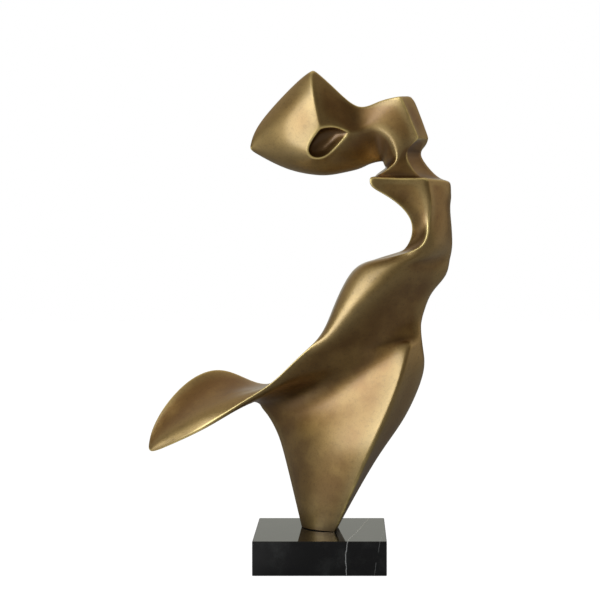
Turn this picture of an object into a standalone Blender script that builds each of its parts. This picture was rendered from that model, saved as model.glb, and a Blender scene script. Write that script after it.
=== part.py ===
"""Abstract bronze-finish resin figure on a black marble plinth.

The figure is one cast band.  It runs from the point of the swept-back hair, round the head and
neck, down the torso, and out to the left as a wing.  A skirt hangs from the band's underside and
narrows to the foot.  The body is a control cage: every cross-section is a ring of points, the
rings are joined by quads, and a Subdivision Surface rounds it.  Creased edges stay as ridges.

Axes: +X to the figure's right as it is seen from the front, +Y to its back, +Z up.
The origin is the centre of the plinth's underside.
"""

import bmesh
import bpy
import numpy as np

MM = 0.001
PLINTH_SIZE = np.array((162.0, 125.0, 41.5))
PLINTH_CHAMFER = 0.8
SEAT_GAP = 0.3
FOOT = PLINTH_SIZE[2] + SEAT_GAP
LEVELS = 2

# Crease weights: a ridge about 2 mm across, two rounder ones, a hint of one, and a cut edge.
CRISP = 0.52
FIRM = 0.42
SOFT = 0.34
FAINT = 0.22
FLAT = 1.0

# The band's closed sections, from the hair's point to the hip, in millimetres. Going round a section:
# the front edge, the crest beside it, the right ridge, the heel at the back and the rear edge.
# Then how far the points between them swell out (by the right ridge, at the back, under the rear
# edge), and how far the face between rear edge and front edge is hollowed.
SECTIONS = [
    ("hair tip", (-88, 0, 522), (-88, 1, 521), (-88, 4, 519), (-89, 2, 516), (-89, -2, 517),
     0, 0, 0, 0),
    ("hair point", (-76, -1, 550), (-77, 7, 542), (-72, 24, 526), (-73, 6, 505), (-74, -11, 519),
     2, 6, 6, -7),
    ("hair side", (-45, -13, 585), (-45, 7, 581), (-40, 34, 546), (-40, 6, 487), (-39, -33, 514),
     4, 14, 8, -11),
    ("hair crown", (-11, -27, 617), (-10, -4, 611), (-7, 36, 566), (-5, 4, 481), (-4, -39, 502),
     8, 16, 8, -13),
    ("hair dip", (19, -20, 589.5), (20, -4, 589), (21, 32, 566), (22, 4, 480), (18, -34, 510),
     8, 16, 8, -5),
    ("hair waist", (47, -16, 569), (48, 0, 567), (49, 24, 554), (47, 6, 483), (36, -33, 535),
     4, 14, 4, 3),
    ("brow", (72, -22, 574), (75, -7, 576), (81, 16, 571), (60, 8, 488), (50, -28, 536),
     2, 12, 2, 1.5),
    ("block top", (99, -31, 580), (104.5, -22, 581), (116, -6, 583), (71, 8, 491), (66, -28, 539),
     0, 12, 0, 0.5),
    ("block foot", (121, -31, 528), (125, -21, 529), (135, -4, 530.5), (74, 8, 494), (84, -30, 529),
     0, 12, 0, -1),
    ("nape", (110, -27, 518), (115, -18, 517), (131.5, 0, 517), (75, 10, 493), (92.5, -29, 510),
     0, 10, 0, -1),
    ("neck", (107, -25, 503), (115, -15, 504), (132, 2, 505), (75, 12, 490), (89.5, -28, 497),
     0, 10, 0, -1),
    ("collar", (119, -31, 484), (128, -19, 484), (151, 2, 484), (66, 16, 482), (73, -32, 484),
     -1, 12, 0, -1),
    ("shoulder", (130, -43, 479.5), (142, -29, 478.5), (168, 4, 475), (95, 26, 478), (60, -45, 480.5),
     2, 12, 6, 3),
    ("lip", (132.5, -43, 466), (144, -28, 465), (168, 5, 463), (97, 27, 466), (63, -45, 468),
     3, 12, 6, 4),
    ("chest", (135, -42, 447), (146, -27, 447), (164, 6, 447), (112, 30, 450), (86, -42, 454),
     4, 12, 6, 5),
    ("ribs", (133, -40, 425), (147, -27, 424), (165, 7, 423), (134, 36, 424), (111, -34, 426),
     4, 10, 8, 3),
    ("midriff", (122, -40, 396), (134, -38, 390), (167, 8, 396), (132, 42, 396), (106, -6, 394),
     3, 10, 8, 2),
    ("breast top", (80, -36, 382), (105, -50, 375), (166, 9, 378), (112, 50, 382), (82, 14, 381),
     0, 12, 8, 0),
    ("bosom", (50, -37, 371), (90, -55, 362), (161.5, 9, 358), (94, 54, 370), (49, 16, 371),
     0, 12, 8, -2),
    ("breast", (30.5, -41, 346), (69, -59, 341), (146, 8, 338), (72, 57, 346), (29.5, 18, 346),
     0, 14, 8, -3),
    ("belly", (16, -44, 318), (46, -58, 317), (137, 5, 319), (60, 58, 320), (15, 28, 312),
     0, 16, 6, -2),
    ("waist", (-2, -44, 286), (23, -50, 286), (132, 2, 304), (46, 60, 290), (-1, 36, 279),
     0, 18, 4, 0),
    ("hip", (-29.5, -44, 258), (-14, -38, 255), (129, 1, 289), (32, 62, 266), (-33, 42, 247),
     16, 18, 4, 2),
]
# Where a point lies along its chord, if not halfway: between crest and right ridge, and between the
# front edge and the rear edge.
SLOPE_SHARE = {"waist": 0.6, "hip": 0.87}
FACE_SHARE = {"hair dip": 0.27, "hair crown": 0.3}
# The wing's sections: its front edge, its rear edge, how deep its upper face is hollowed, its
# thickness, how high its rounded lip rises behind the front edge, and how far the blunt rim hangs
# below that edge.
WING = [
    ("twist", (-59, -43, 230), (-65, 46, 219), 4, 13, 2, 8),
    ("wing root", (-89, -44, 210), (-101, 48, 227), 8, 11, 4, 10),
    ("wing", (-119, -46, 191), (-134, 42, 237), 10, 10, 7, 9.5),
    ("wing belly", (-149, -44, 173), (-169, 24, 224), 8, 8, 8, 8.5),
    ("wing end", (-186, -30, 153), (-200, 2, 188), 0, 6, 6, 5),
    ("wing tip", (-210, -22, 141), (-216, -17, 148), 0, 3, 1, 1.5),
]
# The skirt's closed sections: the fold, the right ridge and the left edge, how far the front swells
# out at three points from the left edge to the fold, and how far the back does.
SKIRT = [
    ("skirt lap", (109, -28, 274), (133, 2, 264), (-86, 34, 191), (0, 0, 0), 34),
    ("skirt top", (96.5, -43, 229), (133, 4, 234), (-74, 42, 179), (0, 0, 0), 34),
    ("skirt middle", (76, -48, 178), (109, 6, 180), (-60, 42, 156), (10, 15, 10), 30),
    ("skirt narrow", (53.5, -42, 127), (73, 10, 128), (-47, 36, 119), (11, 16, 11), 26),
    ("foot", (19, -15, FOOT), (22.5, 16, FOOT), (-25, 14, FOOT), (7, 9, 6), 14),
]
# The three front points of the first two skirt sections, which lie in the cove under the band.
COVE = [
    [(-54, 6, 212), (-9, -15, 234), (50, -20, 250)],
    [(-45, 20, 183), (-8, 0, 193), (42, -23, 209)],
]
# The rim of the hollow eye, from its right corner over the top and round.
SOCKET_RIM = [
    (36, -33, 535), (19, -38, 543), (1, -45, 539), (-8, -44, 527),
    (-16, -41, 513), (-10, -39, 502), (7, -37, 503), (22, -34, 519),
]
# Its floor: the rim shrunk about its middle and moved in, and a little to the left.
SOCKET_NARROW = 0.68
SOCKET_LEAN = (-5.0, 13.0, 4.0)

# Where the points of a wing's lip, its hollow and its underside, and of a skirt's front and back, lie
# along their chords.
LIP_SHARE = 0.18
HOLLOW_SHARE = 0.6
UNDER_SHARES = (0.5, 0.8)
SKIRT_FRONT_SHARES = (0.2, 0.45, 0.72)
SKIRT_BACK_SHARES = (0.2, 0.4, 0.58, 0.75, 0.9)

NAMES = [row[0] for row in SECTIONS]
# The sections where the long ridges turn a corner.
CORNERS = ("hair crown", "block top", "block foot", "shoulder")
# Places in a section's ring of points.
EDGE, CREST, SLOPE, RIGHT, BACK, HEEL, UNDER, REAR, FACE = range(9)
BOWL, LIP = 5, 6
FOLD, SKIRT_RIGHT, SKIRT_LEFT = 1, 2, 8


def clear_scene():
    """Remove whatever the file opened with."""
    for item in list(bpy.data.objects):
        bpy.data.objects.remove(item)


def unit(vectors):
    """Each row scaled to length 1."""
    return vectors / np.linalg.norm(vectors, axis=-1, keepdims=True)


def outward(start, end, along):
    """The direction that points out of the body, square to the chord start-end and to the path."""
    return unit(np.cross(along, end - start))


def between(start, end, share, along, swell):
    """A point at this share of each chord, moved out of the body by swell."""
    swell = np.asarray(swell, float).reshape(-1, 1)
    share = np.asarray(share, float).reshape(-1, 1)
    return start + share * (end - start) + swell * outward(start, end, along)


def through(points):
    """Control points Q of the cubic B-spline through points P: Q[i-1] + 4 Q[i] + Q[i+1] = 6 P[i]."""
    count = len(points)
    if count < 3:
        return points
    rule = np.eye(count)
    for i in range(1, count - 1):
        rule[i, i - 1:i + 2] = np.array((1, 4, 1)) / 6
    return np.linalg.solve(rule, points.reshape(count, -1)).reshape(points.shape)


def spline_rails():
    """The long ridges as control points, splined between the sections where they turn a corner."""
    edge = np.array([row[1] for row in SECTIONS + WING], float)
    rear = np.array([row[5] for row in SECTIONS] + [row[2] for row in WING], float)
    crest, right, heel = (np.array([row[k] for row in SECTIONS], float) for k in (2, 3, 4))
    corners = [NAMES.index(name) for name in CORNERS]
    jaw_corner = NAMES.index("hair waist")
    for rail, turns in (
        (edge, corners),
        (crest, corners),
        (right, corners[1:]),
        (heel, corners[-1:]),
        (rear, (jaw_corner, corners[-1])),
    ):
        stops = [0, *turns, len(rail) - 1]
        for first, last in zip(stops, stops[1:]):
            rail[first:last + 1] = through(rail[first:last + 1])
    return edge, rear, crest, right, heel


def column(rows, place):
    """One column of a table of sections, as floats."""
    return np.array([row[place] for row in rows], float)


def body_rings():
    """The closed sections from the hair to the hip, as an array (section, point, xyz)."""
    edge, rear, crest, right, heel = spline_rails()
    count = len(SECTIONS)
    edge, rear = edge[:count], rear[:count]
    path = np.gradient((edge + rear + right) / 3, axis=0)
    half = np.full(count, 0.5)
    slope_share, face_share = (
        np.array([shares.get(name, 0.5) for name in NAMES]) for shares in (SLOPE_SHARE, FACE_SHARE)
    )
    swell, back, under, hollow = (column(SECTIONS, k) for k in (6, 7, 8, 9))
    return np.stack([
        edge,
        crest,
        between(crest, right, slope_share, path, swell),
        right,
        between(right, heel, half, path, back),
        heel,
        between(heel, rear, half, path, under),
        rear,
        between(rear, edge, 1 - face_share, path, -hollow),
    ], axis=1)


def wing_rings():
    """The 6 sections of the wing: edge, foot of its rim, two underneath, rear edge, hollow, lip."""
    edge, rear = spline_rails()[:2]
    start = len(SECTIONS)
    edge, rear = edge[start:], rear[start:]
    path = np.gradient((edge + rear) / 2, axis=0)
    hollow, thick = column(WING, 3), column(WING, 4)
    under = [
        between(edge, rear, np.full(len(WING), share), path, (hollow + thick) * 4 * share * (1 - share))
        for share in UNDER_SHARES
    ]
    rim_foot = edge + np.outer(column(WING, 6), (0, 0.15, -1))
    bowl = between(rear, edge, np.full(len(WING), 1 - HOLLOW_SHARE), path, -hollow)
    lip = between(rear, edge, np.full(len(WING), 1 - LIP_SHARE), path, column(WING, 5))
    return np.stack([edge, rim_foot, *under, rear, bowl, lip], axis=1)


def skirt_rings():
    """The 5 closed sections of the skirt, each starting next to the fold on its left."""
    fold, right, left = (through(column(SKIRT, k)) for k in (1, 2, 3))
    path = np.gradient((fold + right + left) / 3, axis=0)
    swell, back = column(SKIRT, 4), column(SKIRT, 5)
    count = len(SKIRT)
    front = [
        between(left, fold, np.full(count, share), path, swell[:, k])
        for k, share in enumerate(SKIRT_FRONT_SHARES)
    ]
    for k, row in enumerate(front):
        row[:len(COVE)] = np.array(COVE, float)[:, k]
    rear = [
        between(right, left, np.full(count, share), path, back * 4 * share * (1 - share))
        for share in SKIRT_BACK_SHARES
    ]
    return np.stack([front[2], fold, right, *rear, left, front[0], front[1]], axis=1)


class Cage:
    """The control cage: points, faces and creased edges, gathered before the mesh is made."""

    def __init__(self):
        self.points = []
        self.faces = []
        self.creases = {}

    def add(self, points):
        """Store an array of points and return their numbers in the same layout."""
        flat = np.asarray(points, float).reshape(-1, 3)
        first = len(self.points)
        self.points.extend(flat)
        return np.arange(first, first + len(flat)).reshape(np.shape(points)[:-1])

    def strip(self, one, two, closed=True):
        """Join two rows of points by quads."""
        count = len(one)
        for k in range(count if closed else count - 1):
            n = (k + 1) % count
            self.faces.append((one[k], two[k], two[n], one[n]))

    def crease(self, row, sharpness, closed=False):
        """Crease the edges along a row of points."""
        ends = list(zip(row, row[1:]))
        if closed:
            ends.append((row[-1], row[0]))
        for pair in ends:
            self.creases[frozenset(int(p) for p in pair)] = sharpness


def figure_cage():
    """The whole figure: the band, the wing, the skirt and the scooped eye."""
    cage = Cage()
    body = cage.add(body_rings())
    wing = cage.add(wing_rings())
    skirt = cage.add(skirt_rings())

    eye_rings = [NAMES.index(name) for name in ("hair side", "hair crown", "hair dip", "hair waist")]
    for i in range(len(body) - 1):
        one, two = body[i], body[i + 1]
        if i in eye_rings[:3]:
            cage.strip(np.r_[one[FACE], one[:UNDER + 1]], np.r_[two[FACE], two[:UNDER + 1]], closed=False)
        else:
            cage.strip(one, two)
    cage.faces.append(tuple(body[0]))

    hip, twist, root = body[-1], wing[0], wing[1]
    cage.strip(hip[[UNDER, REAR, FACE]], twist[[3, 4, BOWL]], closed=False)
    cage.faces.append((hip[FACE], twist[BOWL], twist[LIP], twist[0], hip[EDGE]))
    cage.strip(hip[[EDGE, CREST]], twist[[0, 1]], closed=False)
    upper_twist, upper_root = (np.r_[ring[3:], ring[:2]] for ring in (twist, root))
    cage.strip(upper_twist, upper_root, closed=False)
    for one, two in zip(wing[1:], wing[2:]):
        cage.strip(one, two)
    cage.faces.append(tuple(wing[-1]))

    waistband = (*hip[CREST:REAR], twist[3], root[3], root[2], root[1], twist[1])
    cage.strip(waistband, skirt[0])
    for one, two in zip(skirt, skirt[1:]):
        cage.strip(one, two)
    cage.faces.append(tuple(skirt[-1]))

    scoop_eye(cage, body, eye_rings)
    crease_figure(cage, body, wing, skirt)
    return cage


def scoop_eye(cage, body, eye_rings):
    """The hollow of the eye: its rim joined to the sections around it, then a wall and a floor."""
    side, crown, dip, waist = (body[i] for i in eye_rings)
    rim = np.r_[waist[REAR], cage.add(SOCKET_RIM[1:])]
    above = (waist[FACE], dip[FACE], crown[FACE], side[FACE])
    below = (side[REAR], side[UNDER], crown[UNDER], dip[UNDER], waist[UNDER])
    around = (*above, *below)
    for k in range(len(rim)):
        n = (k + 1) % len(rim)
        cage.faces.append((around[k], rim[k], rim[n], around[k + 1]))
    corners = np.array(SOCKET_RIM, float)
    centre = corners.mean(axis=0)
    inner = centre + SOCKET_NARROW * (corners - centre) + np.array(SOCKET_LEAN)
    wall = cage.add(inner)
    cage.strip(rim, wall)
    cage.faces.append(tuple(wall))
    cage.crease(rim, CRISP, closed=True)
    cage.crease((crown[EDGE], crown[FACE], rim[2]), CRISP)


def crease_figure(cage, body, wing, skirt):
    """The ridges: along the band, round the block and the shoulder, and down the skirt."""
    at = {name: i for i, name in enumerate(NAMES)}
    wing_edge = (*body[:, EDGE], *wing[:, 0])
    wing_rear = (*body[at["hair waist"]:, REAR], *wing[:, 4])
    cage.crease(wing_edge, CRISP)
    cage.crease(wing_edge[:at["hair dip"]], SOFT)
    cage.crease(wing_edge[at["breast top"]:at["waist"] + 1], FAINT)
    cage.crease(wing_edge[at["shoulder"]:at["breast top"]], FIRM)
    cage.crease(wing_rear, CRISP)
    cage.crease(body[at["brow"]:at["collar"], REAR], SOFT)
    cage.crease(body[at["block top"]:at["nape"] + 1, RIGHT], CRISP)
    cage.crease((*body[at["lip"]:, RIGHT], *skirt[:, SKIRT_RIGHT]), SOFT)
    cage.crease((body[-1, SLOPE], *skirt[:, FOLD]), CRISP)
    cage.crease(skirt[:, SKIRT_LEFT], SOFT)
    for name in ("block top", "block foot"):
        cage.crease(body[at[name], :RIGHT + 1], CRISP)
    cage.crease(body[at["shoulder"]], SOFT, closed=True)
    cage.crease(skirt[-1], FLAT, closed=True)


def make_object(name, points, faces, material):
    """A mesh object with its faces pointing out and shaded smooth."""
    mesh = bpy.data.meshes.new(name)
    places = [tuple(point) for point in np.asarray(points) * MM]
    mesh.from_pydata(places, [], [tuple(int(v) for v in face) for face in faces])
    shape = bmesh.new()
    shape.from_mesh(mesh)
    bmesh.ops.recalc_face_normals(shape, faces=shape.faces)
    shape.to_mesh(mesh)
    shape.free()
    mesh.materials.append(material)
    item = bpy.data.objects.new(name, mesh)
    bpy.context.scene.collection.objects.link(item)
    return item


def make_material(name, colour, roughness, metallic):
    """A plain Principled BSDF."""
    material = bpy.data.materials.new(name)
    material.use_nodes = True
    shader = material.node_tree.nodes["Principled BSDF"]
    shader.inputs["Base Color"].default_value = (*colour, 1.0)
    shader.inputs["Roughness"].default_value = roughness
    shader.inputs["Metallic"].default_value = metallic
    return material


def build_figure(material):
    """The cast figure: the creased cage under a Subdivision Surface."""
    cage = figure_cage()
    item = make_object("figure", cage.points, cage.faces, material)
    creases = item.data.attributes.new("crease_edge", "FLOAT", "EDGE")
    for edge in item.data.edges:
        creases.data[edge.index].value = cage.creases.get(frozenset(edge.vertices), 0.0)
    rounding = item.modifiers.new("Round", "SUBSURF")
    rounding.levels = LEVELS
    rounding.render_levels = LEVELS
    rounding.use_limit_surface = False
    item.data.shade_smooth()
    return item


def build_plinth(material):
    """The marble block, with its edges eased."""
    half = PLINTH_SIZE / 2
    outline = ((-1, -1), (1, -1), (1, 1), (-1, 1))
    corners = [(x * half[0], y * half[1], half[2] * (1 + z)) for x, y in outline for z in (-1, 1)]
    sides = [(k, (k + 2) % 8, (k + 3) % 8, k + 1) for k in (0, 2, 4, 6)]
    faces = [(0, 2, 4, 6), (1, 3, 5, 7), *sides]
    item = make_object("plinth", corners, faces, material)
    eased = item.modifiers.new("Eased edges", "BEVEL")
    eased.width = PLINTH_CHAMFER * MM
    eased.segments = 1
    return item


def main():
    clear_scene()
    build_figure(make_material("bronze_finish", (0.33, 0.22, 0.09), 0.35, 1.0))
    build_plinth(make_material("black_marble", (0.015, 0.015, 0.014), 0.08, 0.0))


main()
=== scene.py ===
# %% [markdown]
# # A bronze-finish figure on a marble plinth
#
# The real object is one flowing band of cast resin.  It starts at the point of the swept-back hair,
# runs round the head, the block at the back of the head and the neck, comes down the torso and
# leaves to the left as a wing.  A skirt hangs under it and narrows to the foot, which stands on a
# polished block of black marble.
#
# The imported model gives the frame: its solids are right in size and place, but the figure's is made
# of flat facets.  This lesson rebuilds the figure as a smooth surface with crisp ridges, and gives
# both pieces their finish.  Lengths in the tables are millimetres; the scene is in metres.

import bmesh
import bpy
import numpy as np
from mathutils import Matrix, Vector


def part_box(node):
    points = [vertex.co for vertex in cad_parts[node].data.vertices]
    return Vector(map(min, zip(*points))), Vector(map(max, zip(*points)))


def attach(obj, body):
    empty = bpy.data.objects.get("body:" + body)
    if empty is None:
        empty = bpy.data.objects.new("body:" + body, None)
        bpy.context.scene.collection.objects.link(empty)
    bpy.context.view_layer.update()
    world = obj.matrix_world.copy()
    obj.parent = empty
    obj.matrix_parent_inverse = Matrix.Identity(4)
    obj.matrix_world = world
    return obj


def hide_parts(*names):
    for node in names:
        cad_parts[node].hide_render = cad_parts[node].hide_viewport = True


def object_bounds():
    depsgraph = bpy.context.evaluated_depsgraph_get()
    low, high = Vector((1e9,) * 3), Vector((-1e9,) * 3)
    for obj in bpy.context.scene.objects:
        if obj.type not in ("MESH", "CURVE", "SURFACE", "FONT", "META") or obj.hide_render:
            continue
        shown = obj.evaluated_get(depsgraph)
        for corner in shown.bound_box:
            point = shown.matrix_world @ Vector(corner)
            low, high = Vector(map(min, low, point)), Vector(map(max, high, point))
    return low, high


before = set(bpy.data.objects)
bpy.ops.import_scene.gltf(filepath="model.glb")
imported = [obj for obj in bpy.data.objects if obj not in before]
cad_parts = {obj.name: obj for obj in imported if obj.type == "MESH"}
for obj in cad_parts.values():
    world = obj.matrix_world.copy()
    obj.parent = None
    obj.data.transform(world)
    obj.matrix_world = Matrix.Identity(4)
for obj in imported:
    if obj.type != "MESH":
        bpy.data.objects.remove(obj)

MM = 0.001
cad_box = np.array(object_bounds())
plinth_box = np.array(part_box("plinth"))
print("whole object, mm:", np.round((cad_box[1] - cad_box[0]) / MM, 1))

# %% [markdown]
# ## The band, as sections along a path
#
# A body like this could be sculpted, or carved out of a block.  Here it is lofted, because a loft keeps
# every ridge under control: the body is cut into sections, each section is a ring of nine points, and
# the same point of every ring lies on one long line, called a rail.  Five rails are written down here.
# The four points between them follow from how far the face swells out or is hollowed.

# %% The sections from the hair to the hip
# Going round a section: the front edge, the crest beside it, the right ridge, the heel at the back
# and the rear edge.  Then the swell by the right ridge, at the back and under the rear edge, and the
# depth of the hollow face.
SECTIONS = [
    ("hair tip", (-88, 0, 522), (-88, 1, 521), (-88, 4, 519), (-89, 2, 516), (-89, -2, 517),
     0, 0, 0, 0),
    ("hair point", (-76, -1, 550), (-77, 7, 542), (-72, 24, 526), (-73, 6, 505), (-74, -11, 519),
     2, 6, 6, -7),
    ("hair side", (-45, -13, 585), (-45, 7, 581), (-40, 34, 546), (-40, 6, 487), (-39, -33, 514),
     4, 14, 8, -11),
    ("hair crown", (-11, -27, 617), (-10, -4, 611), (-7, 36, 566), (-5, 4, 481), (-4, -39, 502),
     8, 16, 8, -13),
    ("hair dip", (19, -20, 589.5), (20, -4, 589), (21, 32, 566), (22, 4, 480), (18, -34, 510),
     8, 16, 8, -5),
    ("hair waist", (47, -16, 569), (48, 0, 567), (49, 24, 554), (47, 6, 483), (36, -33, 535),
     4, 14, 4, 3),
    ("brow", (72, -22, 574), (75, -7, 576), (81, 16, 571), (60, 8, 488), (50, -28, 536),
     2, 12, 2, 1.5),
    ("block top", (99, -31, 580), (104.5, -22, 581), (116, -6, 583), (71, 8, 491), (66, -28, 539),
     0, 12, 0, 0.5),
    ("block foot", (121, -31, 528), (125, -21, 529), (135, -4, 530.5), (74, 8, 494), (84, -30, 529),
     0, 12, 0, -1),
    ("nape", (110, -27, 518), (115, -18, 517), (131.5, 0, 517), (75, 10, 493), (92.5, -29, 510),
     0, 10, 0, -1),
    ("neck", (107, -25, 503), (115, -15, 504), (132, 2, 505), (75, 12, 490), (89.5, -28, 497),
     0, 10, 0, -1),
    ("collar", (119, -31, 484), (128, -19, 484), (151, 2, 484), (66, 16, 482), (73, -32, 484),
     -1, 12, 0, -1),
    ("shoulder", (130, -43, 479.5), (142, -29, 478.5), (168, 4, 475), (95, 26, 478), (60, -45, 480.5),
     2, 12, 6, 3),
    ("lip", (132.5, -43, 466), (144, -28, 465), (168, 5, 463), (97, 27, 466), (63, -45, 468),
     3, 12, 6, 4),
    ("chest", (135, -42, 447), (146, -27, 447), (164, 6, 447), (112, 30, 450), (86, -42, 454),
     4, 12, 6, 5),
    ("ribs", (133, -40, 425), (147, -27, 424), (165, 7, 423), (134, 36, 424), (111, -34, 426),
     4, 10, 8, 3),
    ("midriff", (122, -40, 396), (134, -38, 390), (167, 8, 396), (132, 42, 396), (106, -6, 394),
     3, 10, 8, 2),
    ("breast top", (80, -36, 382), (105, -50, 375), (166, 9, 378), (112, 50, 382), (82, 14, 381),
     0, 12, 8, 0),
    ("bosom", (50, -37, 371), (90, -55, 362), (161.5, 9, 358), (94, 54, 370), (49, 16, 371),
     0, 12, 8, -2),
    ("breast", (30.5, -41, 346), (69, -59, 341), (146, 8, 338), (72, 57, 346), (29.5, 18, 346),
     0, 14, 8, -3),
    ("belly", (16, -44, 318), (46, -58, 317), (137, 5, 319), (60, 58, 320), (15, 28, 312),
     0, 16, 6, -2),
    ("waist", (-2, -44, 286), (23, -50, 286), (132, 2, 304), (46, 60, 290), (-1, 36, 279),
     0, 18, 4, 0),
    ("hip", (-29.5, -44, 258), (-14, -38, 255), (129, 1, 289), (32, 62, 266), (-33, 42, 247),
     16, 18, 4, 2),
]
NAMES = [row[0] for row in SECTIONS]
# Places in a section's ring of points.
EDGE, CREST, SLOPE, RIGHT, BACK, HEEL, UNDER, REAR, FACE = range(9)
# Where a between point lies along its chord, if not halfway.
SLOPE_SHARE = {"waist": 0.6, "hip": 0.87}
FACE_SHARE = {"hair dip": 0.27, "hair crown": 0.3}
# The sections where the long ridges turn a corner.
CORNERS = [NAMES.index(name) for name in ("hair crown", "block top", "block foot", "shoulder")]
JAW_CORNER = NAMES.index("hair waist")
print(len(SECTIONS), "sections from the hair to the hip")

# %% [markdown]
# ## The wing and the skirt
#
# Below the hip the band splits.  The front and rear edges run on as the rim of the wing, a thin sheet
# hollowed like a spoon.  The rest of the section turns down as the skirt, a panel folded along one
# ridge.  Both are written as sections too, with fewer points.

# %% The wing's and the skirt's sections
# Front edge, rear edge, how deep the upper face is hollowed, how thick the sheet is, how high its
# rounded lip rises behind the front edge, and how far the blunt rim hangs below that edge.
WING = [
    ("twist", (-59, -43, 230), (-65, 46, 219), 4, 13, 2, 8),
    ("wing root", (-89, -44, 210), (-101, 48, 227), 8, 11, 4, 10),
    ("wing", (-119, -46, 191), (-134, 42, 237), 10, 10, 7, 9.5),
    ("wing belly", (-149, -44, 173), (-169, 24, 224), 8, 8, 8, 8.5),
    ("wing end", (-186, -30, 153), (-200, 2, 188), 0, 6, 6, 5),
    ("wing tip", (-210, -22, 141), (-216, -17, 148), 0, 3, 1, 1.5),
]
# Where the wing's lip and the lowest line of its hollow lie along its chords.
LIP_SHARE = 0.18
HOLLOW_SHARE = 0.6
# The way from the front edge to the foot of its blunt rim: down, and a little back.
RIM_FALL = (0, 0.15, -1)
# The figure stands just clear of the plinth's top.
SEAT_GAP = 0.3
FOOT = plinth_box[1][2] / MM + SEAT_GAP
# The fold, the right ridge, the left edge, three swells of the front and one of the back.
SKIRT = [
    ("skirt lap", (109, -28, 274), (133, 2, 264), (-86, 34, 191), (0, 0, 0), 34),
    ("skirt top", (96.5, -43, 229), (133, 4, 234), (-74, 42, 179), (0, 0, 0), 34),
    ("skirt middle", (76, -48, 178), (109, 6, 180), (-60, 42, 156), (10, 15, 10), 30),
    ("skirt narrow", (53.5, -42, 127), (73, 10, 128), (-47, 36, 119), (11, 16, 11), 26),
    ("foot", (19, -15, FOOT), (22.5, 16, FOOT), (-25, 14, FOOT), (7, 9, 6), 14),
]
# Where the points of a wing's underside, and of a skirt's front and back, lie along their chords.
UNDER_SHARES = (0.5, 0.8)
FRONT_SHARES = (0.2, 0.45, 0.72)
BACK_SHARES = (0.2, 0.4, 0.58, 0.75, 0.9)
FOLD, SKIRT_RIGHT, SKIRT_LEFT = 1, 2, 8
# The three front points of the first two sections, which lie in the cove under the band.
COVE = np.array([
    [(-54, 6, 212), (-9, -15, 234), (50, -20, 250)],
    [(-45, 20, 183), (-8, 0, 193), (42, -23, 209)],
], float)
print(len(WING), "sections of the wing,", len(SKIRT), "of the skirt")


# %% [markdown]
# ## Rails that are smooth, but turn corners
#
# Subdividing pulls a line inside its control points, as a B-spline does.  So the measured points can't be
# the control points: the control points are solved for, so that the curve passes through what was
# measured.  Where a ridge turns a corner the curve is cut in two, and the corner stays put.


# %% Splines and between points
def column(rows, place):
    """One column of a table of sections, as floats."""
    return np.array([row[place] for row in rows], float)


def unit(vectors):
    """Each row divided by its own length."""
    return vectors / np.linalg.norm(vectors, axis=-1, keepdims=True)


def through(points):
    """Control points Q of the cubic B-spline through points P.

    For every inner point (Q[i-1] + 4 Q[i] + Q[i+1]) / 6 = P[i], and the two ends stay as they are:
    a set of linear equations, solved in one go.
    """
    count = len(points)
    rule = np.eye(count)
    inner = np.arange(1, count - 1)
    rule[inner, inner - 1] = rule[inner, inner + 1] = 1 / 6
    rule[inner, inner] = 4 / 6
    return np.linalg.solve(rule, points)


def cornered(rail, corners):
    """A rail splined piece by piece, with its corners and ends kept."""
    stops = [0, *corners, len(rail) - 1]
    for first, last in zip(stops, stops[1:]):
        rail[first:last + 1] = through(rail[first:last + 1])
    return rail


def between(start, end, share, along, swell):
    """A point on each chord, moved out of the body.

    It is start + share * (end - start) + swell * n, where n is the unit vector square to both the
    chord and the path: the cross product of path and chord.
    """
    share, swell = (np.asarray(value, float).reshape(-1, 1) for value in (share, swell))
    return start + share * (end - start) + swell * unit(np.cross(along, end - start))


edge = cornered(np.r_[column(SECTIONS, 1), column(WING, 1)], CORNERS)
rear = cornered(np.r_[column(SECTIONS, 5), column(WING, 2)], [JAW_CORNER, CORNERS[-1]])
crest = cornered(column(SECTIONS, 2), CORNERS)
right = cornered(column(SECTIONS, 3), CORNERS[1:])
heel = cornered(column(SECTIONS, 4), CORNERS[-1:])
print("front edge and rear edge have", len(edge), "control points each")


# %% [markdown]
# ## From rails to rings of points
#
# With the rails in place, every ring is worked out at once, as one array of shape (section, point, xyz).
# The body, the wing and the skirt each give such an array; it is the surface as a function of two
# whole numbers, the section and the place in its ring.

# %% Rings
HALF = 0.5


def body_rings():
    """Nine points a section: rails at EDGE, CREST, RIGHT, HEEL and REAR, between points in the gaps."""
    count = len(SECTIONS)
    front, back_edge = edge[:count], rear[:count]
    path = np.gradient((front + back_edge + right) / 3, axis=0)
    slope_share, face_share = (
        np.array([shares.get(name, HALF) for name in NAMES]) for shares in (SLOPE_SHARE, FACE_SHARE)
    )
    swell, back, under, hollow = (column(SECTIONS, place) for place in (6, 7, 8, 9))
    return np.stack([
        front,
        crest,
        between(crest, right, slope_share, path, swell),
        right,
        between(right, heel, HALF, path, back),
        heel,
        between(heel, back_edge, HALF, path, under),
        back_edge,
        between(back_edge, front, 1 - face_share, path, -hollow),
    ], axis=1)


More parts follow.
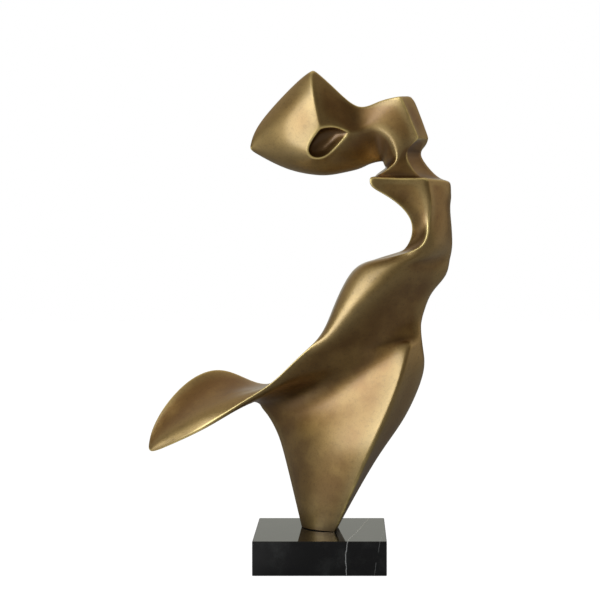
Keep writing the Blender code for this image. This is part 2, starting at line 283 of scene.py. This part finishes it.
def wing_rings():
    """Seven points a section: front edge, foot of its rim, two underneath, rear edge, bowl and lip.

    The underside hangs below the chord by (hollow + thickness) * 4 s (1 - s), a parabola in the
    share s along the chord.
    """
    front, back_edge = edge[len(SECTIONS):], rear[len(SECTIONS):]
    path = np.gradient((front + back_edge) / 2, axis=0)
    hollow, thick = column(WING, 3), column(WING, 4)
    under = [
        between(front, back_edge, share, path, (hollow + thick) * 4 * share * (1 - share))
        for share in UNDER_SHARES
    ]
    rim_foot = front + np.outer(column(WING, 6), RIM_FALL)
    bowl = between(back_edge, front, 1 - HOLLOW_SHARE, path, -hollow)
    lip = between(back_edge, front, 1 - LIP_SHARE, path, column(WING, 5))
    return np.stack([front, rim_foot, *under, back_edge, bowl, lip], axis=1)


def skirt_rings():
    """Eleven points a section: three rails, three points in front and five behind.

    The back bulges by its swell * 4 s (1 - s), a parabola in the share s along the chord.
    """
    fold, flank, left = (through(column(SKIRT, place)) for place in (1, 2, 3))
    path = np.gradient((fold + flank + left) / 3, axis=0)
    swell, back = column(SKIRT, 4), column(SKIRT, 5)
    front = [
        between(left, fold, share, path, swell[:, place]) for place, share in enumerate(FRONT_SHARES)
    ]
    for place, row in enumerate(front):
        row[:len(COVE)] = COVE[:, place]
    behind = [
        between(flank, left, share, path, back * 4 * share * (1 - share)) for share in BACK_SHARES
    ]
    return np.stack([front[2], fold, flank, *behind, left, front[0], front[1]], axis=1)


rings = {"body": body_rings(), "wing": wing_rings(), "skirt": skirt_rings()}
for name, points in rings.items():
    print(name, "rings:", points.shape)

# %% [markdown]
# ## The hollow eye
#
# The eye is a scooped socket in the side of the head.  Its rim is a ring of eight points set into the
# face of the band, and its floor is the same ring, shrunk about its middle and pushed in.

# %% The socket
# The rim of the hollow eye, from its right corner over the top and round.
SOCKET_RIM = np.array([
    (36, -33, 535), (19, -38, 543), (1, -45, 539), (-8, -44, 527),
    (-16, -41, 513), (-10, -39, 502), (7, -37, 503), (22, -34, 519),
], float)
SOCKET_NARROW = 0.68
SOCKET_LEAN = np.array((-5.0, 13.0, 4.0))
socket_middle = SOCKET_RIM.mean(axis=0)
# floor = middle + narrow * (rim - middle) + lean
socket_floor = socket_middle + SOCKET_NARROW * (SOCKET_RIM - socket_middle) + SOCKET_LEAN
print("socket depth, mm:", np.linalg.norm(SOCKET_LEAN).round(1))

# %% [markdown]
# ## Numbering the points and joining them by quads
#
# All the rings go into one array of points, and each keeps its own block of numbers in the same layout.
# A band of quads between two rings is then plain index arithmetic: the numbers of one ring, those of
# the next, and both of them shifted by one place.

# %% One array of points, and helpers for faces and creases
blocks = [*rings.values(), SOCKET_RIM[1:], socket_floor]
points = np.concatenate([block.reshape(-1, 3) for block in blocks])
starts = np.cumsum([0] + [block[..., 0].size for block in blocks])
body, wing, skirt, rim_rest, floor_ring = (
    start + np.arange(block[..., 0].size).reshape(block.shape[:-1])
    for start, block in zip(starts, blocks)
)
faces = []
crease_pairs = []
crease_weights = []


def join(one, two, closed=True):
    """Quads (one[k], two[k], two[k+1], one[k+1]) between two rows of numbers, or two stacks of rows."""
    shifted_one, shifted_two = (np.roll(row, -1, axis=-1) for row in (one, two))
    quads = np.stack([one, two, shifted_two, shifted_one], axis=-1)
    return quads if closed else quads[..., :-1, :]


def keep(quads):
    """Add an array of faces to the list that the mesh is made from."""
    faces.extend(np.reshape(quads, (-1, np.shape(quads)[-1])).tolist())


def crease(row, weight, closed=False):
    """Mark the edges (row[k], row[k+1]) as a ridge of this weight."""
    row = np.asarray(row)
    pairs = np.sort(np.stack([row, np.roll(row, -1)], axis=-1), axis=-1)
    pairs = pairs if closed else pairs[:-1]
    crease_pairs.append(pairs)
    crease_weights.append(np.full(len(pairs), weight))


print(len(points), "points in the cage")

# %% The faces of the body, the wing and the skirt
eye = slice(NAMES.index("hair side"), JAW_CORNER)
quads = join(body[:-1], body[1:])
shown = np.ones(quads.shape[:2], bool)
shown[eye, UNDER:FACE] = False
keep(quads[shown])
for cap in (body[0], wing[-1], skirt[-1], floor_ring):
    keep([cap])

hip, twist, root = body[-1], wing[0], wing[1]
BOWL, LIP = 5, 6
keep(join(hip[[UNDER, REAR, FACE]], twist[[3, 4, BOWL]], closed=False))
keep([(hip[FACE], twist[BOWL], twist[LIP], twist[0], hip[EDGE])])
keep(join(hip[[EDGE, CREST]], twist[[0, 1]], closed=False))
upper_twist, upper_root = (np.r_[ring[3:], ring[:2]] for ring in (twist, root))
keep(join(upper_twist, upper_root, closed=False))
keep(join(wing[1:-1], wing[2:]))
waistband = np.r_[hip[CREST:REAR], twist[3], root[3], root[2], root[1], twist[1]]
keep(join(waistband, skirt[0]))
keep(join(skirt[:-1], skirt[1:]))

side, crown, dip, waist = body[eye.start:eye.stop + 1]
rim = np.r_[waist[REAR], rim_rest]
above = (waist[FACE], dip[FACE], crown[FACE], side[FACE])
below = (side[REAR], side[UNDER], crown[UNDER], dip[UNDER], waist[UNDER])
keep(join(np.r_[above, below], np.r_[rim, rim[0]], closed=False))
keep(join(rim, floor_ring))
print(len(faces), "faces in the cage")

# %% [markdown]
# ## Ridges
#
# A crease tells the Subdivision Surface to hold an edge back from being rounded.  On the real casting
# the ridges are hand-finished: crisp along the band's edges, softer where the hair sweeps over the
# crown, and almost gone across the breast, where the front edge melts into the form.

# %% Creases
CRISP, FIRM, SOFT, FAINT, FLAT = 0.52, 0.42, 0.34, 0.22, 1.0
at = {name: place for place, name in enumerate(NAMES)}
wing_edge = np.r_[body[:, EDGE], wing[:, 0]]
crease(wing_edge, CRISP)
crease(wing_edge[:at["hair dip"]], SOFT)
crease(wing_edge[at["breast top"]:at["waist"] + 1], FAINT)
crease(wing_edge[at["shoulder"]:at["breast top"]], FIRM)
crease(np.r_[body[at["hair waist"]:, REAR], wing[:, 4]], CRISP)
crease(body[at["brow"]:at["collar"], REAR], SOFT)
crease(body[at["block top"]:at["nape"] + 1, RIGHT], CRISP)
crease(np.r_[body[at["lip"]:, RIGHT], skirt[:, SKIRT_RIGHT]], SOFT)
crease(np.r_[body[-1, SLOPE], skirt[:, FOLD]], CRISP)
crease(skirt[:, SKIRT_LEFT], SOFT)
crease(body[at["block top"], :RIGHT + 1], CRISP)
crease(body[at["block foot"], :RIGHT + 1], CRISP)
crease(body[at["shoulder"]], SOFT, closed=True)
crease(skirt[-1], FLAT, closed=True)
crease(rim, CRISP, closed=True)
crease((crown[EDGE], crown[FACE], rim[2]), CRISP)
print(sum(map(len, crease_pairs)), "creased edges")

# %% [markdown]
# ## From the cage to the cast surface
#
# The cage goes into a mesh, its normals are turned outwards, and a Subdivision Surface rounds it.  The
# result is applied, because the next step measures the finished surface and stores what it finds on
# its points.

# %% The figure's mesh
SUBDIVISIONS = 4


def write_creases(mesh):
    """Give each edge of the mesh its weight; where an edge was marked twice, the later mark counts.

    An edge (a, b) with a < b has the key a * count + b, so two lists of edges can be matched by
    sorting numbers.
    """
    count = len(mesh.vertices)
    pairs = np.concatenate(crease_pairs)[::-1]
    weights = np.concatenate(crease_weights)[::-1]
    keys, first = np.unique(pairs[:, 0] * count + pairs[:, 1], return_index=True)
    ends = np.empty(2 * len(mesh.edges), int)
    mesh.edges.foreach_get("vertices", ends)
    ends = np.sort(ends.reshape(-1, 2), axis=1)
    mesh_keys = ends[:, 0] * count + ends[:, 1]
    place = np.minimum(np.searchsorted(keys, mesh_keys), len(keys) - 1)
    found = np.where(keys[place] == mesh_keys, weights[first][place], 0.0)
    mesh.attributes.new("crease_edge", "FLOAT", "EDGE").data.foreach_set("value", found)
    return int((found > 0).sum())


def outward(mesh):
    """Turn the faces of a closed mesh to point out."""
    shape = bmesh.new()
    shape.from_mesh(mesh)
    bmesh.ops.recalc_face_normals(shape, faces=shape.faces)
    shape.to_mesh(mesh)
    shape.free()


def place_piece(name, mesh):
    """An object for a mesh that already has its place in the scene."""
    piece = bpy.data.objects.new(name, mesh)
    bpy.context.scene.collection.objects.link(piece)
    return piece


def apply_modifiers(piece):
    """Put the evaluated shape into the piece and drop its modifiers."""
    evaluated = piece.evaluated_get(bpy.context.evaluated_depsgraph_get())
    finished = bpy.data.meshes.new_from_object(evaluated)
    piece.modifiers.clear()
    piece.data = finished


cage = bpy.data.meshes.new("bronze_figure")
cage.from_pydata((points * MM).tolist(), [], faces)
outward(cage)
print(write_creases(cage), "edges of the mesh are creased")
figure = place_piece("bronze_figure", cage)
rounding = figure.modifiers.new("Rounding", "SUBSURF")
rounding.levels = rounding.render_levels = SUBDIVISIONS
rounding.use_limit_surface = False
apply_modifiers(figure)
figure.data.shade_smooth()
print(len(figure.data.polygons), "quads in the finished surface")

# %% [markdown]
# ## Rubbed ridges and painted highlights
#
# On the real casting the dark glaze is wiped back from every ridge, so that the ridges shine like brass,
# and it stays thick in the hollows.  The ridges' brass is also a painted highlight, brighter than the
# wear alone, and the broad swells are painted paler, a painted highlight where the light catches them.
# All follow from the surface's curvature.  It is measured on the finished mesh: at a ridge the
# neighbours of a point lie below its tangent plane, in a hollow above.


# %% Curvature as two attributes
def read(items, field, width, kind=float):
    """A property of all the items of a mesh as one array."""
    values = np.empty(len(items) * width, kind)
    items.foreach_get(field, values)
    return values.reshape(-1, width)


def bend(mesh):
    """How the surface curves at each point, in 1/m, positive on a ridge.

    For an edge from p to q with normal n at p, the circle through q that touches the surface at p
    bends by 2 n.(p - q) / |p - q|^2.  The value is the mean of that over the edges at p.
    """
    where = read(mesh.vertices, "co", 3)
    normal = read(mesh.vertex_normals, "vector", 3)
    one, two = read(mesh.edges, "vertices", 2, int).T
    step = where[one] - where[two]
    square = (step ** 2).sum(axis=1)
    count = len(where)
    total = np.bincount(one, 2 * (normal[one] * step).sum(axis=1) / square, count)
    total -= np.bincount(two, 2 * (normal[two] * step).sum(axis=1) / square, count)
    return total / np.bincount(np.r_[one, two], minlength=count)


def spread(mesh, values, times):
    """Even out values over the surface: each point takes the mean of itself and its neighbours."""
    one, two = read(mesh.edges, "vertices", 2, int).T
    count = len(values)
    share = 1 + np.bincount(np.r_[one, two], minlength=count)
    for _ in range(times):
        near = np.bincount(np.r_[one, two], np.r_[values[two], values[one]], count)
        values = (values + near) / share
    return values


def ease(values, low, high):
    """0 below low, 1 above high, and 3 t^2 - 2 t^3 between."""
    t = np.clip((values - low) / (high - low), 0, 1)
    return t * t * (3 - 2 * t)


def store(mesh, name, values):
    """Keep one number a point, for the material to read."""
    mesh.attributes.new(name, "FLOAT", "POINT").data.foreach_set("value", values)


# %% The figure's ridges, hollows and swells
# Edges that turn by more than this, such as the cut rim of the foot, are shaded as cuts.
CUT_ANGLE = 70
figure.data.set_sharp_from_angle(angle=np.radians(CUT_ANGLE))
curve = bend(figure.data)

# The curvatures, in 1/m, between which each effect grows.
RIDGE_FROM, RIDGE_TO = 70.0, 190.0
HOLLOW_FROM, HOLLOW_TO = 4.0, 36.0
SWELL_FROM, SWELL_TO = 0.0, 16.0
# How often each is evened out, and the sharpest bend that counts as a swell.
RIDGE_SPREAD, HOLLOW_SPREAD, SWELL_SPREAD = 2, 6, 40
SHARPEST_SWELL = 60
# Evening out dims the ridges, so they are brightened again: this gain is part of their painted highlight.
RIDGE_GAIN = 1.7
# The ridges' rubbed wear and painted highlight grow over this height above the foot, in millimetres.
RUB_AND_HIGHLIGHT_RISE = 16

above_foot = ease(read(figure.data.vertices, "co", 3)[:, 2], FOOT * MM, (FOOT + RUB_AND_HIGHLIGHT_RISE) * MM)
ridges = spread(figure.data, ease(curve, RIDGE_FROM, RIDGE_TO), RIDGE_SPREAD)
hollows = spread(figure.data, ease(-curve, HOLLOW_FROM, HOLLOW_TO), HOLLOW_SPREAD)
gentle = spread(figure.data, np.clip(curve, -SHARPEST_SWELL, SHARPEST_SWELL), SWELL_SPREAD)
# The ridge mask: rubbed wear on the ridges, and a painted highlight on them.
store(figure.data, "rubbed_and_highlit", np.minimum(RIDGE_GAIN * ridges, 1) * above_foot)
store(figure.data, "hollow", hollows)
# The swell mask, which the finish paints paler as a highlight.
store(figure.data, "swell", ease(gentle, SWELL_FROM, SWELL_TO))
print("curvature, 1/m, at the 1st and 99th percentile:", np.percentile(curve, (1, 99)).round(0))

# %% [markdown]
# ## A bronze finish in glazes
#
# The casting is resin under a metal-filled coat, which was then glazed brown and polished by hand.  So the
# colour is a mix of three: the golden coat, the brown glaze lying on it in soft clouds, and the pale
# brass where the ridges were rubbed, painted brighter still as a highlight.  Painted light is added too:
# a painted highlight makes the swells paler, and a painted shade darkens the foot towards the plinth.
# A thin clear wax gives the second, whiter shine on top.


# %% Helpers for node materials
def new_material(name):
    """A material, its node tree and its shader."""
    material = bpy.data.materials.new(name)
    material.use_nodes = True
    return material, material.node_tree, material.node_tree.nodes["Principled BSDF"]


def add(tree, kind, inputs=None, **settings):
    """A new node: settings are its options, inputs are its sockets, given a value or a link."""
    node = tree.nodes.new(kind)
    for name, value in settings.items():
        setattr(node, name, value)
    for socket, value in (inputs or {}).items():
        if isinstance(value, bpy.types.NodeSocket):
            tree.links.new(value, node.inputs[socket])
        else:
            node.inputs[socket].default_value = value
    return node


def noise(tree, place, scale, detail=2.0, roughness=0.5, distortion=0.0):
    """Cloudy values around a half; scale is in cells a metre."""
    settings = {
        "Vector": place, "Scale": scale, "Detail": detail, "Roughness": roughness,
        "Distortion": distortion,
    }
    return add(tree, "ShaderNodeTexNoise", settings).outputs["Fac"]


def rescale(tree, value, low, high, to_low=0.0, to_high=1.0, smooth=True):
    """Stretch a range of values to another, with soft or straight ends."""
    settings = {"Value": value, "From Min": low, "From Max": high, "To Min": to_low, "To Max": to_high}
    kind = "SMOOTHSTEP" if smooth else "LINEAR"
    return add(tree, "ShaderNodeMapRange", settings, interpolation_type=kind).outputs["Result"]


def maths(tree, operation, one, two):
    """One sum on two values."""
    return add(tree, "ShaderNodeMath", {0: one, 1: two}, operation=operation).outputs[0]


def blend_colour(tree, share, one, two):
    """Colour one where the share is 0, colour two where it is 1.

    Sockets 0, 6 and 7 of the Mix node are its factor and its two colours.
    """
    return add(tree, "ShaderNodeMix", {0: share, 6: one, 7: two}, data_type="RGBA").outputs[2]


def attribute(tree, name):
    """A number stored on the mesh's points."""
    return add(tree, "ShaderNodeAttribute", attribute_name=name).outputs["Fac"]


def object_place(tree):
    """Place on the object, in metres."""
    return add(tree, "ShaderNodeTexCoord").outputs["Object"]


# %% The bronze finish
GOLD = (0.43, 0.262, 0.077, 1)
BROWN = (0.30, 0.160, 0.040, 1)
UMBER = (0.11, 0.053, 0.012, 1)
# The paler gold of the swells, a painted highlight.
PALE_HIGHLIGHT = (0.50, 0.350, 0.130, 1)
# Pale brass for the ridges: rubbed wear, painted brighter as a highlight.
BRASS_HIGHLIGHT = (0.95, 0.73, 0.26, 1)
# Painted shade: the foot is darkened towards the plinth, in place of the contact shadow there, fading out
# between these heights, in metres.
FOOT_SHADE_FROM, FOOT_SHADE_TO = 0.042, 0.060


def bronze_finish():
    """The glazed coat: soft clouds, darker hollows and a faint ripple, with painted light: ridges rubbed to
    brass and painted brighter, swells painted paler as a highlight, and painted shade darkening the foot.
    """
    material, tree, shader = new_material("aged_bronze_finish")
    place = object_place(tree)
    wide = noise(tree, place, 14.0, 3.0)
    middle = noise(tree, place, 46.0, 4.0, 0.55)
    fine = noise(tree, place, 260.0, 3.0, 0.6)
    speckle = noise(tree, place, 700.0, 3.0, 0.7)
    cloud = maths(tree, "ADD", maths(tree, "MULTIPLY", wide, 0.6), maths(tree, "MULTIPLY", middle, 0.4))
    glaze = rescale(tree, cloud, 0.40, 0.62)
    colour = blend_colour(tree, glaze, BROWN, GOLD)
    # Painted highlight: the broad swells, where the light catches, are painted paler.
    swell_highlight = maths(tree, "MULTIPLY", attribute(tree, "swell"), 0.8)
    colour = blend_colour(tree, swell_highlight, colour, PALE_HIGHLIGHT)
    thick = maths(tree, "MULTIPLY", attribute(tree, "hollow"), 0.7)
    colour = blend_colour(tree, thick, colour, UMBER)
    pits = rescale(tree, fine, 0.48, 0.75, 0.0, 0.22)
    specks = rescale(tree, speckle, 0.5, 0.75, 0.0, 0.30)
    colour = blend_colour(tree, maths(tree, "ADD", pits, specks), colour, UMBER)
    height = add(tree, "ShaderNodeSeparateXYZ", {"Vector": place}).outputs["Z"]
    # Painted shade: darker towards the foot, where it stands on the plinth.
    foot_shade = rescale(tree, height, FOOT_SHADE_FROM, FOOT_SHADE_TO, 0.6, 0.0)
    colour = blend_colour(tree, foot_shade, colour, UMBER)
    # Partly wear, partly painted highlight: the ridges are painted pale brass and lose some metal, so they
    # shine under any light.
    worn_and_highlit = maths(tree, "MULTIPLY", attribute(tree, "rubbed_and_highlit"), rescale(tree, middle, 0.3, 0.6, 0.75, 1.0))
    colour = blend_colour(tree, worn_and_highlit, colour, BRASS_HIGHLIGHT)
    tree.links.new(colour, shader.inputs["Base Color"])

    matt = rescale(tree, middle, 0.3, 0.7, 0.40, 0.48, smooth=False)
    matt = maths(tree, "SUBTRACT", matt, maths(tree, "MULTIPLY", worn_and_highlit, 0.14))
    tree.links.new(matt, shader.inputs["Roughness"])
    metal = rescale(tree, worn_and_highlit, 0.2, 1.0, 1.0, 0.35, smooth=False)
    tree.links.new(metal, shader.inputs["Metallic"])
    shader.inputs["Coat Weight"].default_value = 0.7
    shader.inputs["Coat Roughness"].default_value = 0.28
    shader.inputs["Coat IOR"].default_value = 1.65

    grain = add(tree, "ShaderNodeBump", {"Strength": 0.10, "Distance": 0.0004, "Height": fine})
    ripple = add(tree, "ShaderNodeBump", {
        "Strength": 0.10, "Distance": 0.002, "Height": middle, "Normal": grain.outputs["Normal"],
    })
    tree.links.new(ripple.outputs["Normal"], shader.inputs["Normal"])
    return material


figure.data.materials.clear()
figure.data.materials.append(bronze_finish())
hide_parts("figure")
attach(figure, "root")
print("the figure is dressed")

# %% [markdown]
# ## Black marble
#
# The plinth's solid already has its real shape, a block with eased edges, so it stays and only gets a
# material.  Marble veins are cracks that healed with white calcite.  Each is a sheet through the block, so
# it shows as a line that crosses the top and carries on down the front.  In the material a sheet is a
# plane whose distance is bent by noise; the vein is where that distance is nearly nothing.


# %% The marble
STONE = (0.010, 0.010, 0.010, 1)
SMOKE = (0.035, 0.036, 0.034, 1)
CALCITE = (0.50, 0.50, 0.47, 1)


def vein(tree, place, through_point, turn, width, waver, scale):
    """How much of a vein shows: 1 on the sheet, 0 further off than its width.

    The Mapping node moves the block so that the sheet is the plane x = 0, and noise pushes x to and fro.
    """
    mapping = add(tree, "ShaderNodeMapping", {
        "Vector": place, "Location": through_point, "Rotation": turn,
    }, vector_type="TEXTURE")
    x = add(tree, "ShaderNodeSeparateXYZ", {"Vector": mapping.outputs["Vector"]}).outputs["X"]
    push = maths(tree, "MULTIPLY", maths(tree, "SUBTRACT", noise(tree, place, scale, 3.0, 0.5), 0.5), waver)
    distance = maths(tree, "ABSOLUTE", maths(tree, "ADD", x, push), 0.0)
    return rescale(tree, distance, 0.0, width, 1.0, 0.0)


def black_marble():
    """Polished black stone with smoky clouds, one clear vein and two faint, broken ones."""
    material, tree, shader = new_material("polished_black_marble")
    place = object_place(tree)
    cloud = rescale(tree, noise(tree, place, 30.0, 6.0, 0.65), 0.45, 0.80)
    colour = blend_colour(tree, cloud, STONE, SMOKE)
    main = vein(tree, place, (0.0325, -0.0625, 0.020), (0, 0.03, -0.22), 0.0008, 0.009, 30.0)
    faint = vein(tree, place, (0.0700, -0.0625, 0.020), (0, 0.17, -0.10), 0.0006, 0.008, 20.0)
    left = vein(tree, place, (-0.057, -0.023, 0.040), (0, 0.2, -0.96), 0.0006, 0.008, 22.0)
    across = add(tree, "ShaderNodeSeparateXYZ", {"Vector": place}).outputs["X"]
    left = maths(tree, "MULTIPLY", left, rescale(tree, across, -0.045, -0.035, 1.0, 0.0))
    broken = rescale(tree, noise(tree, place, 90.0, 3.0), 0.42, 0.56)
    uneven = rescale(tree, noise(tree, place, 160.0, 2.0), 0.3, 0.5, 0.35, 0.9)
    strong = maths(tree, "MULTIPLY", main, uneven)
    faded = maths(tree, "MULTIPLY", broken, 0.30)
    weak = maths(tree, "MULTIPLY", maths(tree, "MAXIMUM", faint, left), faded)
    colour = blend_colour(tree, maths(tree, "MAXIMUM", strong, weak), colour, CALCITE)
    tree.links.new(colour, shader.inputs["Base Color"])
    haze = rescale(tree, noise(tree, place, 60.0, 4.0), 0.3, 0.7, 0.015, 0.035, smooth=False)
    tree.links.new(haze, shader.inputs["Roughness"])
    shader.inputs["IOR"].default_value = 1.5
    return material


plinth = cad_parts["plinth"]
plinth.data.materials.clear()
plinth.data.materials.append(black_marble())
print("the plinth is dressed")

# %% [markdown]
# ## The studio
#
# A metal finish shows its surroundings more than itself, so the studio is part of the look.  The floor
# glows in soft pools, a large cool softbox stands at the front left and a small warm one at the right.
# The rest of the room is dark, but for a warm upper back and ceiling and a pale wall behind the object.
# To the camera, floor and room are plain white.


# %% The floor
FLOOR_HALF = 4.0
ROWS = 9


def length(tree, vector):
    """The length of a vector."""
    return add(tree, "ShaderNodeVectorMath", {0: vector}, operation="LENGTH").outputs["Value"]


def away_from(tree, spot, reach):
    """Distance from a spot on the floor, as a share of its reach: the Mapping node makes them 0 and 1."""
    mapping = add(tree, "ShaderNodeMapping", {
        "Vector": object_place(tree), "Location": spot, "Scale": (reach, reach, 1),
    }, vector_type="TEXTURE")
    return length(tree, mapping.outputs["Vector"])


def floor_glow(tree):
    """A wide pool at the front left, a ring that grows outwards, and a close pool beside the foot."""
    wide = rescale(tree, away_from(tree, (-0.60, -0.50, 0), 0.45), 1.0, 0.3, 0.0, 0.25)
    ring = rescale(tree, length(tree, object_place(tree)), 0.25, 0.75, 0.06, 0.16)
    close = rescale(tree, away_from(tree, (-0.19, -0.16, 0), 0.18), 1.0, 0.2, 0.0, 0.45)
    return maths(tree, "ADD", maths(tree, "ADD", wide, ring), close)


def stage_floor():
    """A wide floor, white to the camera, that glows a little, as a lit studio floor does."""
    side_line = np.linspace(-FLOOR_HALF, FLOOR_HALF, ROWS)
    across, along = np.meshgrid(side_line, side_line)
    flat = np.stack([across, along, np.zeros_like(across)], axis=-1)
    numbers = np.arange(ROWS * ROWS).reshape(ROWS, ROWS)
    tiles = np.stack([numbers[:-1, :-1], numbers[:-1, 1:], numbers[1:, 1:], numbers[1:, :-1]], axis=-1)
    mesh = bpy.data.meshes.new("studio_floor")
    mesh.from_pydata(flat.reshape(-1, 3).tolist(), [], tiles.reshape(-1, 4).tolist())
    floor = place_piece("studio_floor", mesh)
    material, tree, shader = new_material("studio_floor_paint")
    shader.inputs["Base Color"].default_value = (0.15, 0.15, 0.15, 1)
    shader.inputs["Roughness"].default_value = 1.0
    shader.inputs["Specular IOR Level"].default_value = 0.0
    shader.inputs["Emission Color"].default_value = (1, 1, 1, 1)
    seen = add(tree, "ShaderNodeLightPath").outputs["Is Camera Ray"]
    glow = add(tree, "ShaderNodeMix", {0: seen, 2: floor_glow(tree), 3: 1.0}).outputs[0]
    tree.links.new(glow, shader.inputs["Emission Strength"])
    mesh.materials.append(material)


stage_floor()
print("the floor is", 2 * FLOOR_HALF, "m wide")


# %% The room
def room():
    """White to the camera; as a light, dark with a warm upper back and ceiling and a pale wall behind."""
    world = bpy.data.worlds.new("studio")
    world.use_nodes = True
    tree = world.node_tree
    tree.nodes.clear()
    direction = add(tree, "ShaderNodeTexCoord").outputs["Generated"]
    parts = add(tree, "ShaderNodeSeparateXYZ", {"Vector": direction}).outputs
    back = rescale(tree, parts["Y"], -0.35, 0.45)
    high = rescale(tree, parts["Z"], 0.05, 0.50)
    wall = rescale(tree, parts["Y"], 0.85, 0.97, 0.0, 0.50)
    upper_back = maths(tree, "MULTIPLY", maths(tree, "MULTIPLY", back, high), 0.3)
    ceiling = rescale(tree, parts["Z"], 0.70, 0.97, 0.12, 0.24)
    warm = maths(tree, "ADD", upper_back, ceiling)
    glow = add(tree, "ShaderNodeBackground", {"Color": (1, 0.87, 0.70, 1), "Strength": warm})
    paper = add(tree, "ShaderNodeBackground", {"Color": (0.93, 1, 0.93, 1), "Strength": wall})
    lit = add(tree, "ShaderNodeAddShader", {0: glow.outputs[0], 1: paper.outputs[0]})
    seen = add(tree, "ShaderNodeBackground", {"Color": (1, 1, 1, 1), "Strength": 1.0})
    camera_ray = add(tree, "ShaderNodeLightPath").outputs["Is Camera Ray"]
    either = add(tree, "ShaderNodeMixShader", {0: camera_ray, 1: lit.outputs[0], 2: seen.outputs[0]})
    add(tree, "ShaderNodeOutputWorld", {"Surface": either.outputs[0]})
    bpy.context.scene.world = world


room()
print("the room is set")


# %% The lights
def softbox(name, azimuth, elevation, distance, width, height, power, tint):
    """A soft light aimed at the middle of the object.

    Azimuth 0 is at the front and grows to the right; elevation is above the floor, both in degrees.
    """
    turn, rise = np.radians((azimuth, elevation))
    out = np.array((np.sin(turn) * np.cos(rise), -np.cos(turn) * np.cos(rise), np.sin(rise)))
    light = bpy.data.lights.new(name, "AREA")
    light.shape = "RECTANGLE"
    light.size, light.size_y = width, height
    light.energy = power
    light.color = tint
    lamp = place_piece(name, light)
    lamp.location = cad_box.mean(axis=0) + distance * out
    lamp.rotation_euler = (np.pi / 2 - rise, 0, turn)


softbox(
    "key_softbox", azimuth=-37, elevation=17, distance=1.5, width=0.95, height=1.57, power=14.6,
    tint=(0.94, 1, 1.10),
)
softbox(
    "right_fill", azimuth=100, elevation=12, distance=1.6, width=0.8, height=1.0, power=0.9,
    tint=(1, 0.88, 0.70),
)
print("both lights are set")

# %% [markdown]
# ## The camera
#
# It stands about 1.6 m in front of the object, a little above its middle, and is level, so upright
# edges stay upright.  The picture is shifted instead of turned to get the object into its middle.


# %% Camera
SENSOR_MM = 36.0
LENS_MM = 76.8
# Shares of the picture's width by which it is shifted, sideways and up.
PICTURE_SHIFT = (-1 / 12, -37 / 300)
CAMERA_PLACE = (0.0367, -1.6, 0.4206)
LEVEL = (np.pi / 2, 0, 0)


def product_camera():
    """A long lens, level, with its picture shifted to centre the object."""
    lens = bpy.data.cameras.new("product_camera")
    lens.sensor_width = SENSOR_MM
    lens.lens = LENS_MM
    lens.shift_x, lens.shift_y = PICTURE_SHIFT
    camera = place_piece("product_camera", lens)
    camera.location = CAMERA_PLACE
    camera.rotation_euler = LEVEL
    bpy.context.scene.camera = camera


product_camera()
print("camera place, m:", CAMERA_PLACE)
bpy.context.scene.view_settings.view_transform = "Standard"
